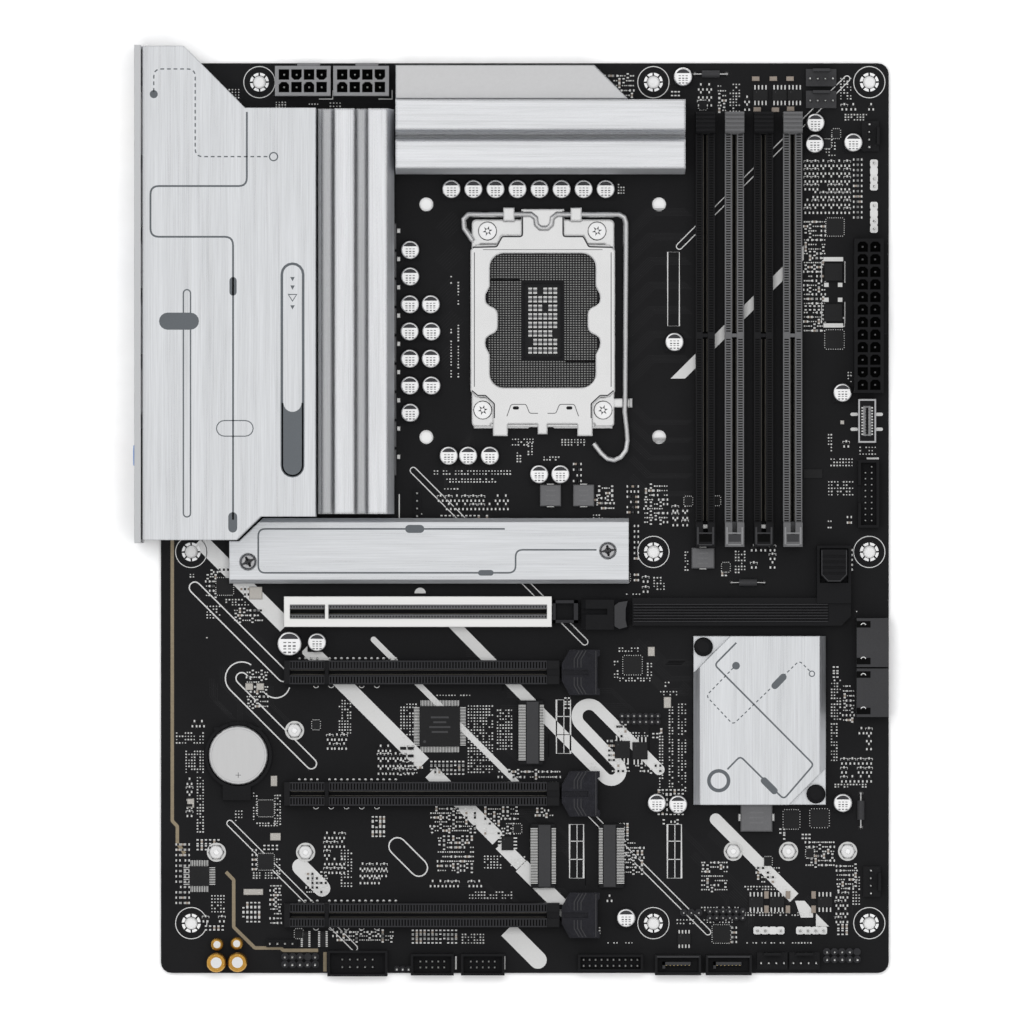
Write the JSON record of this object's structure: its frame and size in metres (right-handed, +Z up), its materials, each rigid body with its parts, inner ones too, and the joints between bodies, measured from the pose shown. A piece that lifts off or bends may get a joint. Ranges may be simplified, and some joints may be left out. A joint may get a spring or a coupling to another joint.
{
  "type": "motherboard",
  "caption": "Full-size computer mainboard with socket, memory and expansion slots, port tower, finned heatsinks and working latches.",
  "frame": {"origin": "centre of the assembly's box at its base, the surface that the board lies on", "axes": "+Z up out of the component side, +Y along the board's long side towards the processor end, +X away from the rear ports"},
  "size_m": [0.252, 0.3104, 0.049],
  "materials": {
    "board_laminate": "satin",
    "brushed_aluminium": "satin",
    "nickel_plate": "satin",
    "steel": "satin",
    "shield_paint": "satin",
    "plastic_black": "satin",
    "plastic_dark": "satin",
    "plastic_grey": "satin",
    "plastic_pale": "satin",
    "cell_steel": "satin",
    "chip_epoxy": "satin",
    "solder_tin": "satin",
    "gold_plate": "satin",
    "white_ink": "satin",
    "tan_ink": "satin"
  },
  "bodies": {
    "board": {"atx_power_connector": "plastic_black", "audio_jacks": "plastic_black", "battery_holder": "plastic_black", "chipset_heatsink": "brushed_aluminium", "cpu_socket": "plastic_grey", "dimm_slot_1": "plastic_dark", "dimm_slot_2": "plastic_grey", "dimm_slot_3": "plastic_dark", "dimm_slot_4": "plastic_grey", "display_ports": "steel", "eps_power_connector_1": "plastic_pale", "eps_power_connector_2": "plastic_pale", "ilm_frame": "nickel_plate", "ilm_screw_1": "steel", "ilm_screw_2": "steel", "ilm_screw_3": "steel", "ilm_screw_4": "steel", "io_cover": "brushed_aluminium", "io_shield": "shield_paint", "lan_usb_tower": "steel", "m2_socket_1": "plastic_grey", "m2_socket_2": "plastic_grey", "m2_socket_3": "plastic_grey", "m2_socket_4": "plastic_grey", "pcb": "board_laminate", "pcie_slot_1": "plastic_dark", "pcie_slot_1_armor": "nickel_plate", "pcie_slot_2": "plastic_dark", "pcie_slot_3": "plastic_dark", "pcie_slot_4": "plastic_dark", "push_pin_1": "plastic_black", "push_pin_2": "plastic_black", "release_track": "plastic_black", "sata_port_1": "plastic_dark", "sata_port_2": "plastic_dark", "sata_stack_1": "plastic_dark", "sata_stack_2": "plastic_dark", "socket_backplate": "steel", "usb3_header": "plastic_black", "usb_c_header": "steel", "usb_tower_1": "steel", "usb_tower_2": "steel", "vrm_heatsink_left": "brushed_aluminium", "vrm_heatsink_top": "brushed_aluminium", "wifi_antenna_ports": "nickel_plate"},
    "lever": {"load_lever": "nickel_plate"},
    "load_plate": {"load_plate": "nickel_plate"},
    "release_button": {"release_button": "plastic_black"},
    "slot_lock": {"pcie_latch_1": "plastic_grey"},
    "m2_heatsink": {"m2_heatsink": "brushed_aluminium", "m2_heatsink_screw_1": "nickel_plate", "m2_heatsink_screw_2": "nickel_plate"},
    "battery": {"battery": "cell_steel"},
    "dimm_latch_1": {"dimm_latch_1": "plastic_dark"},
    "dimm_latch_2": {"dimm_latch_2": "plastic_grey"},
    "dimm_latch_3": {"dimm_latch_3": "plastic_dark"},
    "dimm_latch_4": {"dimm_latch_4": "plastic_grey"},
    "pcie_latch_2": {"pcie_latch_2": "plastic_dark"},
    "pcie_latch_3": {"pcie_latch_3": "plastic_dark"},
    "pcie_latch_4": {"pcie_latch_4": "plastic_dark"}
  },
  "joints": [
    {"name": "lever_hinge", "type": "hinge", "parent": "board", "child": "lever", "pos_m": [0.01, 0.09945, 0.0117], "axis": [-1, 0, 0], "range_deg": [0, 110]},
    {"name": "load_plate_hinge", "type": "hinge", "parent": "board", "child": "load_plate", "pos_m": [0.01, 0.09945, 0.0117], "axis": [-1, 0, 0], "range_deg": [0, 93.5]},
    {"name": "dimm_latch_1_hinge", "type": "hinge", "parent": "board", "child": "dimm_latch_1", "pos_m": [0.0644, 0.13045, 0.0076], "axis": [-1, 0, 0], "range_deg": [0, 30]},
    {"name": "dimm_latch_2_hinge", "type": "hinge", "parent": "board", "child": "dimm_latch_2", "pos_m": [0.07415, 0.13045, 0.0076], "axis": [-1, 0, 0], "range_deg": [0, 30]},
    {"name": "dimm_latch_3_hinge", "type": "hinge", "parent": "board", "child": "dimm_latch_3", "pos_m": [0.0839, 0.13045, 0.0076], "axis": [-1, 0, 0], "range_deg": [0, 30]},
    {"name": "dimm_latch_4_hinge", "type": "hinge", "parent": "board", "child": "dimm_latch_4", "pos_m": [0.09365, 0.13045, 0.0076], "axis": [-1, 0, 0], "range_deg": [0, 30]},
    {"name": "release_press", "type": "slide", "parent": "board", "child": "release_button", "axis": [0, 0, -1], "range_m": [0, 0.0025], "stiffness_N_per_m": 400},
    {"name": "slot_lock_hinge", "type": "hinge", "parent": "board", "child": "slot_lock", "pos_m": [0.0366, -0.03355, 0.007], "axis": [0, 1, 0], "range_deg": [0, 12]},
    {"name": "pcie_latch_2_hinge", "type": "hinge", "parent": "board", "child": "pcie_latch_2", "pos_m": [0.0182, -0.05387, 0.007], "axis": [0, 1, 0], "range_deg": [0, 20], "stiffness_Nm_per_rad": 0.01},
    {"name": "pcie_latch_3_hinge", "type": "hinge", "parent": "board", "child": "pcie_latch_3", "pos_m": [0.0182, -0.09451, 0.007], "axis": [0, 1, 0], "range_deg": [0, 20], "stiffness_Nm_per_rad": 0.01},
    {"name": "pcie_latch_4_hinge", "type": "hinge", "parent": "board", "child": "pcie_latch_4", "pos_m": [0.0182, -0.13515, 0.007], "axis": [0, 1, 0], "range_deg": [0, 20], "stiffness_Nm_per_rad": 0.01},
    {"name": "m2_heatsink_lift", "type": "slide", "parent": "board", "child": "m2_heatsink", "axis": [0, 0, 1], "range_m": [0, 0.02]},
    {"name": "battery_lift", "type": "slide", "parent": "board", "child": "battery", "axis": [0, 0, 1], "range_m": [0, 0.008]}
  ],
  "couplings": [
    {"joint": "load_plate_hinge", "follows": "lever_hinge", "ratio": 0.85},
    {"joint": "slot_lock_hinge", "follows": "release_press", "rad_per_m": 83.7}
  ]
}
